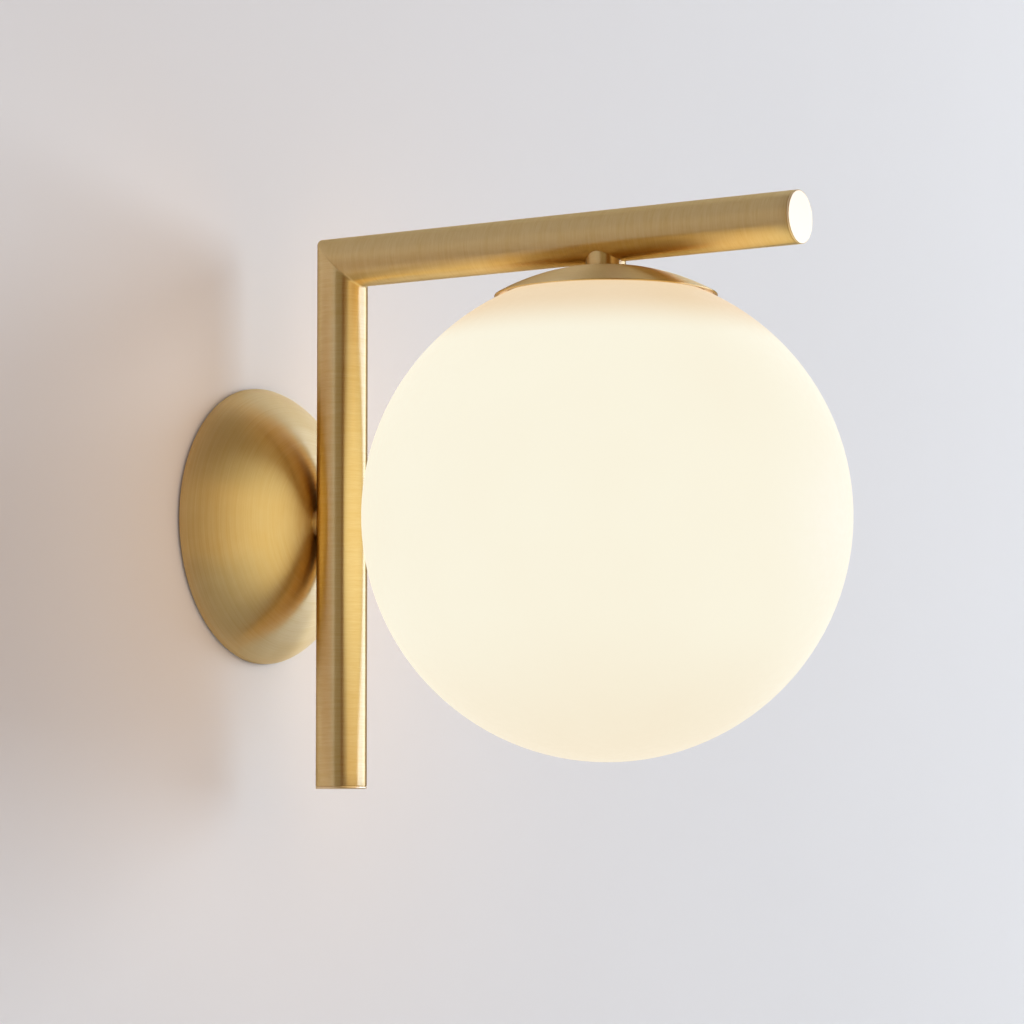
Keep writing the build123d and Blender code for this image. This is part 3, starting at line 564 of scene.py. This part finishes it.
def roundedProfile(corners, steps=5, guard=0.03):
    # polygon of (radius, height, corner radius) with each corner turned as an arc,
    # and a guard point on each side of it
    place = np.array([corner[:2] for corner in corners], float)
    result = []
    for k, (x, z, size) in enumerate(corners):
        if size == 0:
            result.append(place[k:k + 1])
            continue
        before = place[k - 1] - place[k]
        after = place[(k + 1) % len(corners)] - place[k]
        before, after = before / np.linalg.norm(before), after / np.linalg.norm(after)
        half = np.arccos(np.clip(before @ after, -1, 1)) / 2
        reach = size / np.tan(half)
        centre = place[k] + (before + after) / np.linalg.norm(before + after) * size / np.sin(half)
        start, end = place[k] + before * reach - centre, place[k] + after * reach - centre
        share = np.linspace(0, 1, steps)[:, None]
        arc = (1 - share) * start + share * end
        arc = centre + size * arc / np.linalg.norm(arc, axis=1, keepdims=True)
        result += [arc[:1] + before * guard, arc, arc[-1:] + after * guard]
    return np.concatenate(result)


def lathe(profile, centre, axis, columns=160):
    # the profile's (radius, height) turned about an axis through the centre
    axis = np.array(axis, float)
    side = np.array((1.0, 0, 0)) if abs(axis[0]) < 0.5 else np.array((0, 1.0, 0))
    other = np.cross(axis, side)
    angle = np.linspace(0, 2 * np.pi, columns, endpoint=False)
    ring = np.cos(angle)[:, None] * side + np.sin(angle)[:, None] * other
    return np.array(centre) + profile[:, :1, None] * ring[None] + profile[:, 1:, None] * axis


def closedLathe(name, profile, centre, axis, material, body, replaced, columns=160):
    # the profile is a closed loop clear of the axis
    points = lathe(profile, centre, axis, columns).reshape(-1, 3)
    faces = facesOf(len(profile), columns, True)
    return addPiece(name, points, faces, material, body, replaced)


def cappedLathe(name, profile, centre, axis, material, body, replaced, columns=160, pole=0.001):
    # the profile starts and ends on the axis: its two end rings are drawn in to 1 micron and closed
    inner = profile.copy()
    inner[0, 0] = inner[-1, 0] = pole
    grid = lathe(inner, centre, axis, columns)
    faces = facesOf(len(profile), columns, False)
    # the end faces: a strip of quads across each small ring
    k = np.arange(columns // 2 - 1)
    first = np.stack([columns - 1 - k, columns - 2 - k, k + 1, k], 1)
    last = (len(profile) - 1) * columns + first[:, ::-1]
    return addPiece(
        name, grid.reshape(-1, 3), np.concatenate([faces, first, last]), material, body, replaced
    )


def mitredTube(t, length, holeAlong, holeSide, toPlace):
    # grid over angle and length of a tube that ends in half of a rounded mitre, its wall closed at
    # both ends, with one round hole through one side. The columns stand at equal angles, and the rows
    # are close together beside the hole
    columns = t["columns"]
    angle = 2 * np.pi * np.arange(columns) / columns
    step = t["holeStep"]
    near = holeAlong + step * np.arange(-2 * t["holeRows"], 2 * t["holeRows"] + 1)
    begin, end = t["radius"] + t["elbowClear"], length
    rows = np.concatenate([
        np.linspace(end, near[-1], max(3, int((end - near[-1]) / t["step"])))[:-1], near[::-1],
        np.linspace(near[0], begin, max(3, int((near[0] - begin) / t["step"])))[1:],
    ])
    holeRow = int(np.argmin(abs(rows - holeAlong)))
    holeColumn = 0 if holeSide > 0 else columns // 2
    size = t["endRound"]

    def skin(radius, isOuter):
        # one face of the wall: straight rows, then the mitre's arc, as (x, along, outward)
        x = np.broadcast_to(radius * np.sin(angle), (len(rows), columns)).copy()
        along = np.broadcast_to(rows[:, None], x.shape).copy()
        sign = np.cos(angle) / np.maximum(abs(np.cos(angle)), tiny)
        # the square of cells round the hole is pushed out to its circle, less and less towards the
        # edge of the square
        i = (np.arange(len(rows)) - holeRow)[:, None] / t["holeRows"]
        aside = (np.arange(columns) - holeColumn + columns // 2) % columns - columns // 2
        j = aside[None, :] / t["holeColumns"]
        ring = np.maximum(abs(i), abs(j))
        inside = ring < 2
        out = np.stack([x, along - holeAlong], -1)
        direction = out / np.maximum(np.linalg.norm(out, axis=-1, keepdims=True), tiny)
        share = np.clip(ring - 1, 0, 1)[..., None]
        moved = (1 - share) * direction * t["hole"] + share * out
        x = np.where(inside, moved[..., 0], x)
        along = np.where(inside, moved[..., 1] + holeAlong, along)
        outward = np.where(
            inside, holeSide * np.sqrt(np.maximum(radius**2 - x**2, 0)),
            np.sqrt(np.maximum(radius**2 - x**2, 0)) * sign,
        )
        straight = np.stack([x, along, outward], -1)
        # the mitre's arc, of a radius that changes from the inner to the outer corner
        w = radius * np.cos(angle)
        share = (w / radius + 1) / 2
        if isOuter:
            arcRadius = (1 - share) * t["innerRound"] + share * t["outerRound"]
        else:
            arcRadius = t["innerArc"] + 0 * share
        turn = np.linspace(0, np.pi / 4, t["arcRows"])[:, None]
        alongArc = -w + arcRadius - arcRadius * np.sin(turn)
        outArc = -(-w + arcRadius - arcRadius * np.cos(turn))
        arc = np.stack([np.broadcast_to(radius * np.sin(angle), alongArc.shape), alongArc, outArc], -1)
        return np.concatenate([straight, arc]), ring <= 1

    outer, block = skin(t["radius"], True)
    inner = skin(t["bore"], False)[0]
    ringAt = np.stack([np.sin(angle), 0 * angle, np.cos(angle)], -1)
    lift = np.array([0, 1.0, 0])
    # free end: outer round, flat, inner round
    turns = np.array(t["rimTurns"])[:, None, None]
    rise = lift * (length + size * np.sin(turns))
    rim = ringAt * (t["radius"] - size * (1 - np.cos(turns))) + rise
    rimIn = (ringAt * (t["bore"] + size * (1 - np.cos(turns))) + rise)[::-1]
    grid = np.concatenate([rim, outer, inner[::-1], rimIn])
    count = len(grid)
    faces = facesOf(count, columns, True)
    # cells inside the hole are left out, and its wall joins the two skins
    opened = np.zeros((count, columns), bool)
    first, second = len(rim), len(rim) + len(outer)
    opened[first:first + len(rows)] = block
    opened[second + len(inner) - len(rows):second + len(inner)] = block[::-1]
    solid = ~opened.ravel()[faces].all(-1)
    a, b = t["holeRows"], t["holeColumns"]
    loop = np.concatenate([
        np.stack([np.full(2 * b, -a), np.arange(-b, b)], 1),
        np.stack([np.arange(-a, a), np.full(2 * a, b)], 1),
        np.stack([np.full(2 * b, a), np.arange(b, -b, -1)], 1),
        np.stack([np.arange(a, -a, -1), np.full(2 * a, -b)], 1),
    ])
    column = (holeColumn + loop[:, 1]) % columns
    outerLoop = (first + holeRow + loop[:, 0]) * columns + column
    innerLoop = (second + len(inner) - 1 - holeRow - loop[:, 0]) * columns + column
    wall = np.stack([outerLoop, np.roll(outerLoop, -1), np.roll(innerLoop, -1), innerLoop], 1)
    kept, faces = np.unique(np.concatenate([faces[solid], wall]), return_inverse=True)
    return toPlace(grid.reshape(-1, 3)[kept]), faces.reshape(-1, 4)


def uprightPlace(p, t=tubeSet):
    # along runs down from the elbow, outward is towards the wall
    return np.stack([p[:, 0], p[:, 2] - t["out"], t["rise"] - p[:, 1]], 1)


def armPlace(p, t=tubeSet):
    # along runs out from the elbow, outward is up
    return np.stack([p[:, 0], -t["out"] - p[:, 1], t["rise"] + p[:, 2]], 1)


def post(p, top, toPlace, columns=128):
    # short bored post whose upper end is cut to the tube it meets: height = top - sqrt(tube^2 - x^2).
    # Each row is a radius, a share of the way up to the cut, and the lift of the rounded foot
    outer, bore, low, size = (p[key] for key in ("radius", "bore", "low", "round"))
    rows = np.array([
        (outer - 0.7 * size, 0, 0), (outer - 0.2 * size, 0, 0.3 * size), (outer, 0, size),
        (outer, 0.35, 0), (outer, 0.6, 0), (outer, 0.96, 0), (outer, 1, 0),
        (bore, 1, 0), (bore, 0.6, 0), (bore, 0.3, 0), (bore, 0, 0),
    ])
    angle = 2 * np.pi * np.arange(columns) / columns
    radius, share, lift = (rows[:, k:k + 1] for k in range(3))
    x, across = radius * np.sin(angle), radius * np.cos(angle)
    saddle = top - np.sqrt((tubeSet["radius"] + p["clear"]) ** 2 - x**2)
    height = (1 - share) * low + share * saddle + lift
    return toPlace(x.ravel(), across.ravel(), height.ravel()), facesOf(len(rows), columns, True)


def crownArc(c):
    # centre height and radius of the crown that is tangent to the knuckle and ends at the flat
    rise, inner = c["height"] - c["lip"], c["rim"] - c["knuckle"]
    known = c["flat"]**2 + c["height"]**2 + c["knuckle"]**2 - inner**2 - c["lip"]**2
    p = (rise / c["knuckle"])**2 - 1
    q = 2 * c["height"] - known * rise / c["knuckle"]**2
    r = (known / (2 * c["knuckle"]))**2 - c["flat"]**2 - c["height"]**2
    centre = (-q - math.sqrt(q * q - 4 * p * r)) / (2 * p)
    return centre, math.hypot(c["flat"], c["height"] - centre)


def arcPoints(x, z, radius, start, end, count):
    angle = np.linspace(start, end, count)
    return np.stack([x + radius * np.cos(angle), z + radius * np.sin(angle)], 1)


def spunDish(c, guard=0.05, crownSteps=30, noseSteps=12):
    # closed section of a spun dish: crown, round nose as thick as the sheet, then back inside to
    # the hole
    centre, crown = crownArc(c)
    tangent = math.atan2(c["lip"] - centre, c["rim"] - c["knuckle"])
    flatEdge = math.asin((c["height"] - centre) / crown)
    top, low = c["height"], c["height"] - c["sheet"]
    lowEdge = math.asin((low - centre) / (crown - c["sheet"]))
    return np.concatenate([
        np.array([(c["hole"], top), (c["hole"] + guard, top), (c["flat"] - guard, top)]),
        arcPoints(0, centre, crown, flatEdge, tangent, crownSteps),
        arcPoints(
            c["rim"] - c["knuckle"], c["lip"], c["knuckle"], tangent, tangent - math.pi, noseSteps
        )[1:],
        arcPoints(0, centre, crown - c["sheet"], tangent, lowEdge, crownSteps)[1:],
        np.array([(c["hole"] + guard, low), (c["hole"], low)]),
    ])


# spun cap over the globe, and where it sits
capSet = {
    "rim": 45.8, "lip": 0.35, "knuckle": 0.35, "height": 12.2, "flat": 9.25, "hole": 5.2, "sheet": 0.7,
    "base": 86.5, "globeOut": 171.7,
}
# end cap: a disc with a plug that goes into the tube, and the rounds of its corners
endCapSet = {
    "plug": 9.6, "plugBore": 8.4, "plugDepth": 7.0, "faceRound": 0.4, "backRound": 0.32,
    "seatRound": 0.05, "plugRound": 0.3, "boreRound": 0.2,
}
stemSet = {"radius": 8.25, "bore": 5.2, "low": 98.7, "round": 0.25, "clear": 0.02}
collarSet = {"radius": 6.5, "bore": 5.2, "low": 30.4, "round": 0.05, "clear": 0.02}


def endCapCorners(c, t=tubeSet):
    # corners of the end cap's section: radius, height, round
    radius, back, deep = t["radius"], -t["capThick"], -c["plugDepth"]
    return [
        (0, 0, 0), (radius, 0, c["faceRound"]), (radius, back, c["backRound"]),
        (c["plug"], back, c["seatRound"]), (c["plug"], deep, c["plugRound"]),
        (c["plugBore"], deep, c["boreRound"]), (c["plugBore"], back, c["boreRound"]), (0, back, 0),
    ]


# the end caps are plain satin, with finer lines and no brushing, and paler in colour: a painted
# brightening that stands in for the pale sheen their faces catch
endBrass = {
    **brass, "light": (1.0, 0.80, 0.46), "dark": (0.96, 0.75, 0.40), "brushed": 0.0,
    "rough": (0.38, 0.46), "lineDepth": 0.000002,
}

axisBack = (0, 0, 0)
axisUpright = (0, -tubeSet["out"] * mm, 0)
axisArm = (0, 0, tubeSet["rise"] * mm)
axisGlobe = (0, -capSet["globeOut"] * mm, 0)
roseBrass = brushedBrass("roseBrass", axisBack, (0, -1, 0))
collarBrass = brushedBrass("collarBrass", axisBack, (0, -1, 0))
uprightBrass = brushedBrass("uprightBrass", axisUpright, (0, 0, 1))
uprightEndBrass = brushedBrass("uprightEndBrass", axisUpright, (0, 0, -1), 0.0, endBrass)
armBrass = brushedBrass("armBrass", axisArm, (0, -1, 0))
armEndBrass = brushedBrass("armEndBrass", axisArm, (0, -1, 0), 0.0, endBrass)
capBrass = brushedBrass("capBrass", axisGlobe, (0, 0, 1))
print("brass built")

out, rise, drop, reach = (tubeSet[key] for key in ("out", "rise", "drop", "reach"))
ends = tubeSet["capThick"] + tubeSet["endRound"]
points, faces = mitredTube(tubeSet, rise + drop - ends, rise, 1, uprightPlace)
addPiece("uprightTube", points, faces, uprightBrass, "fixture", ["upright_tube"])
points, faces = mitredTube(tubeSet, reach - out - ends, capSet["globeOut"] - out, -1, armPlace)
addPiece("armTube", points, faces, armBrass, "fixture", ["arm_tube"])
endProfile = roundedProfile(endCapCorners(endCapSet))
cappedLathe(
    "uprightEndCap", endProfile, (0, -out, -drop), (0, 0, -1), uprightEndBrass, "fixture",
    ["upright_end_cap"]
)
cappedLathe(
    "armEndCap", endProfile, (0, -reach, rise), (0, -1, 0), armEndBrass, "fixture", ["arm_end_cap"]
)
points, faces = post(stemSet, rise, lambda x, y, h: np.stack([x, y - capSet["globeOut"], h], 1))
addPiece("stemPost", points, faces, capBrass, "fixture", ["stem"])
points, faces = post(collarSet, out, lambda x, y, h: np.stack([x, -h, y], 1))
addPiece("roseCollar", points, faces, collarBrass, "fixture", ["rose_collar"])
capPlace = (0, -capSet["globeOut"], capSet["base"])
closedLathe("shadeCap", spunDish(capSet), capPlace, (0, 0, 1), capBrass, "fixture", ["shade_cap"])
print("tubes, end caps, stem, collar and cap made")


# CAD nodes that stay, with their materials
def dress(material, *names):
    for name in names:
        mesh = nodes[name].data
        mesh.materials.clear()
        mesh.materials.append(material)


dress(roseBrass, "rose")
dress(
    metals["zincSteel"], "mounting_bracket", "terminal_screws", "terminal_block_screws", "rose_nipple",
    "rose_washer", "rose_nut", "stem_nipple", "cap_washer", "cap_nut", "carrier_plate", "carrier_nut",
    "holder_nut", "lampholder_cup", "lampholder_screws"
)
dress(metals["springSteel"], "globe_clips", "lampholder_contacts", "bulb_pins")
dress(
    metals["turnedBrass"], "terminal_barrels", "rose_catch", "rose_screw", "earth_tag", "upright_bush",
    "arm_bush", "clip_rivets"
)
dress(metals["greenScrew"], "bracket_earth_screw")
dress(dull["blockPlastic"], "terminal_block")
dress(dull["silicone"], "globe_gasket")
dress(opalMaterial, "globe")
dress(dull["socketCeramic"], "lampholder_body")
dress(dull["bulbPlastic"], "bulb_base", "bulb_core")
dress(clearCover, "bulb_cover")
dress(litChips, "bulb_leds")
dress(dull["brownWire"], "live_wire")
dress(dull["blueWire"], "neutral_wire")
dress(greenWire, "earth_wire")
print("CAD nodes dressed")


# stage: plain wall with an opening behind the rose, and plain floor
stageSet = {
    "wallColour": (0.80, 0.797, 0.792), "floorColour": (0.80, 0.80, 0.80), "reach": 3.0,
    "opening": 0.055, "wallGap": 0.001, "floorHeight": -1.5, "floorOpening": 0.0005,
    "mirrored": (0.85, 0.86, 0.98), "floorMirrored": (0.42, 0.40, 0.38),
    "rough": 0.9, "gloss": 0.2, "mottle": 0.3, "mottleShade": 0.985,
}


def oneSided(name, colour, mirroredShare, s=stageSet):
    # matt paint in front and nothing behind, so that the views from behind see the object,
    # and a share of its colour where metal mirrors it
    material, tree, shader, place = newMaterial(name)
    shader.inputs["Roughness"].default_value = s["rough"]
    shader.inputs["Specular IOR Level"].default_value = s["gloss"]
    mottle = placeGroup(tree, cloud, Position=place, Size=s["mottle"])
    shaded = tuple(s["mottleShade"] * part for part in colour)
    paint = mixColour(tree, mottle.outputs["Cloud"], colour, shaded)
    mirrored = addNode(tree, "ShaderNodeLightPath").outputs["Is Glossy Ray"]
    inBrass = tuple(part * share for part, share in zip(colour, mirroredShare))
    paint = mixColour(tree, mirrored, paint, inBrass)
    tree.links.new(paint, shader.inputs["Base Color"])
    clear = addNode(tree, "ShaderNodeBsdfTransparent")
    pick = addNode(tree, "ShaderNodeMixShader")
    tree.links.new(addNode(tree, "ShaderNodeNewGeometry").outputs["Backfacing"], pick.inputs[0])
    tree.links.new(shader.outputs["BSDF"], pick.inputs[1])
    tree.links.new(clear.outputs["BSDF"], pick.inputs[2])
    output = next(n for n in tree.nodes if n.type == "OUTPUT_MATERIAL")
    tree.links.new(pick.outputs[0], output.inputs["Surface"])
    return material


def ringSheet(name, inner, outer, place, right, up, material, steps=96):
    # flat sheet from a round opening out to a square: both edges at the same angles, the outer one
    # pushed out to the square
    angle = np.linspace(0, 2 * np.pi, steps, endpoint=False)
    circle = np.stack([np.cos(angle), np.sin(angle)], 1)
    square = circle / np.abs(circle).max(1, keepdims=True)
    flat = np.concatenate([inner * circle, outer * square])
    points = np.array(place) + flat[:, :1] * np.array(right) + flat[:, 1:] * np.array(up)
    i = np.arange(steps)
    j = (i + 1) % steps
    faces = np.stack([i, i + steps, j + steps, j], 1)
    mesh = bpy.data.meshes.new(name)
    mesh.from_pydata(points.tolist(), [], faces.tolist())
    mesh.materials.append(material)
    sheet = bpy.data.objects.new(name, mesh)
    bpy.context.scene.collection.objects.link(sheet)
    return sheet


wallPaint = oneSided("wallPaint", stageSet["wallColour"], stageSet["mirrored"])
floorPaint = oneSided("floorPaint", stageSet["floorColour"], stageSet["floorMirrored"])
ringSheet(
    "wall", stageSet["opening"], stageSet["reach"], (0, stageSet["wallGap"], 0), (1, 0, 0), (0, 0, 1),
    wallPaint
)
ringSheet(
    "floor", stageSet["floorOpening"], stageSet["reach"], (0, 0, stageSet["floorHeight"]), (1, 0, 0),
    (0, 1, 0), floorPaint
)
print("stage set")


# lamps and world
lamps = {
    "key": {"place": (3.1, -2.7, 0.6), "size": (3.4, 2.0), "power": 121, "colour": (0.777, 0.893, 1.0)},
    "fill": {"place": (-0.9, -2.6, 1.6), "size": (2.2, 2.2), "power": 3, "colour": (1.0, 0.95, 0.88)},
}
lampAim = (0, -0.1, 0)


def makeLamp(name, lamp):
    data = bpy.data.lights.new(name, "AREA")
    data.shape = "RECTANGLE"
    data.size, data.size_y = lamp["size"]
    data.energy = lamp["power"]
    data.color = lamp["colour"]
    light = bpy.data.objects.new(name, data)
    light.location = lamp["place"]
    light.rotation_mode = "QUATERNION"
    light.rotation_quaternion = (Vector(lampAim) - light.location).to_track_quat("-Z", "Y")
    # its reflection comes from the world's window instead, which is soft at its edges
    light.visible_glossy = False
    bpy.context.scene.collection.objects.link(light)


for name, lamp in lamps.items():
    makeLamp(name, lamp)

worldSet = {
    "background": (0.80, 0.80, 0.80), "soft": (0.45, 0.386, 0.365), "room": (0.33, 0.28, 0.21),
    "gap": (0.16, 0.065, 0.008), "gapAzimuth": -45.5, "gapFrom": 8.0, "gapTo": 18.0,
    "front": (0.74, 0.51, 0.26), "frontFrom": (0.80, 0.90), "frontTop": (0.3, 0.5),
    "aloft": (0.20, 0.165, 0.115), "aloftFrom": (0.35, 0.6),
    "window": (2.7, 3.35, 6.0), "windowBehind": (-0.1, 0.1), "windowFrom": (0.34, 0.44),
    "windowTo": (0.965, 0.99), "windowTop": (0.11, 0.25), "windowFoot": (-0.22, -0.10),
    "side": (1.15, 1.25, 1.55), "sideFrom": (0.90, 0.98), "sideFoot": (0.12, 0.3),
}


def makeWorld(w):
    # pale to the camera, warm and even to matt faces. Glossy faces see a warm room with a dark gap at
    # one azimuth, a glow in front, a window low on the right and a pale side towards +X, each a
    # product of smoothsteps of the direction
    world = bpy.data.worlds.new("studio")
    world.use_nodes = True
    tree = world.node_tree
    tree.nodes.clear()
    way = addNode(tree, "ShaderNodeTexCoord").outputs["Generated"]
    azimuth = math.radians(w["gapAzimuth"])
    middle = (math.sin(azimuth), -math.cos(azimuth), 0)
    flat = vectorSums(tree, "NORMALIZE", vectorSums(tree, "MULTIPLY", way, (1, 1, 0)))
    apart = sums(tree, "ARCCOSINE", vectorSums(tree, "DOT_PRODUCT", flat, middle, output="Value"))
    clear = remap(tree, apart, math.radians(w["gapFrom"]), math.radians(w["gapTo"]), 0.0, 1.0, True)
    toRight = vectorSums(tree, "DOT_PRODUCT", flat, (1, 0, 0), output="Value")
    upward = vectorSums(tree, "DOT_PRODUCT", way, (0, 0, 1), output="Value")
    window = sums(
        tree, "MULTIPLY", remap(tree, toRight, *w["windowFrom"], 0.0, 1.0, True),
        sums(tree, "MULTIPLY", remap(tree, upward, *w["windowTop"], 1.0, 0.0, True),
             remap(tree, upward, *w["windowFoot"], 0.0, 1.0, True)),
    )
    ahead = vectorSums(tree, "DOT_PRODUCT", flat, (0, -1, 0), output="Value")
    window = sums(
        tree, "MULTIPLY",
        sums(tree, "MULTIPLY", window, remap(tree, toRight, *w["windowTo"], 1.0, 0.0, True)),
        remap(tree, ahead, *w["windowBehind"], 0.0, 1.0, True),
    )
    slope = sums(tree, "ABSOLUTE", upward)
    front = sums(
        tree, "MULTIPLY", remap(tree, ahead, *w["frontFrom"], 0.0, 1.0, True),
        remap(tree, slope, *w["frontTop"], 1.0, 0.0, True),
    )
    room = mixColour(tree, remap(tree, slope, *w["aloftFrom"], 0.0, 1.0, True), w["room"], w["aloft"])
    room = mixColour(tree, front, room, w["front"])
    room = mixColour(tree, clear, w["gap"], room)
    side = sums(
        tree, "MULTIPLY", remap(tree, toRight, *w["sideFrom"], 0.0, 1.0, True),
        remap(tree, slope, *w["sideFoot"], 0.0, 1.0, True),
    )
    room = mixColour(tree, side, room, w["side"])
    room = mixColour(tree, window, room, w["window"])
    path = addNode(tree, "ShaderNodeLightPath").outputs
    soft = addNode(tree, "ShaderNodeBackground", {"Color": (*w["soft"], 1), "Strength": 1.0})
    seen = addNode(tree, "ShaderNodeBackground", {"Color": room, "Strength": 1.0})
    pale = addNode(tree, "ShaderNodeBackground", {"Color": (*w["background"], 1), "Strength": 1.0})
    first = addNode(
        tree, "ShaderNodeMixShader", {0: path["Is Glossy Ray"], 1: soft.outputs[0], 2: seen.outputs[0]}
    )
    second = addNode(
        tree, "ShaderNodeMixShader", {0: path["Is Camera Ray"], 1: first.outputs[0], 2: pale.outputs[0]}
    )
    output = addNode(tree, "ShaderNodeOutputWorld")
    tree.links.new(second.outputs[0], output.inputs["Surface"])
    bpy.context.scene.world = world


makeWorld(worldSet)
bpy.context.scene.view_settings.view_transform = "Standard"
print("lamps and world set")
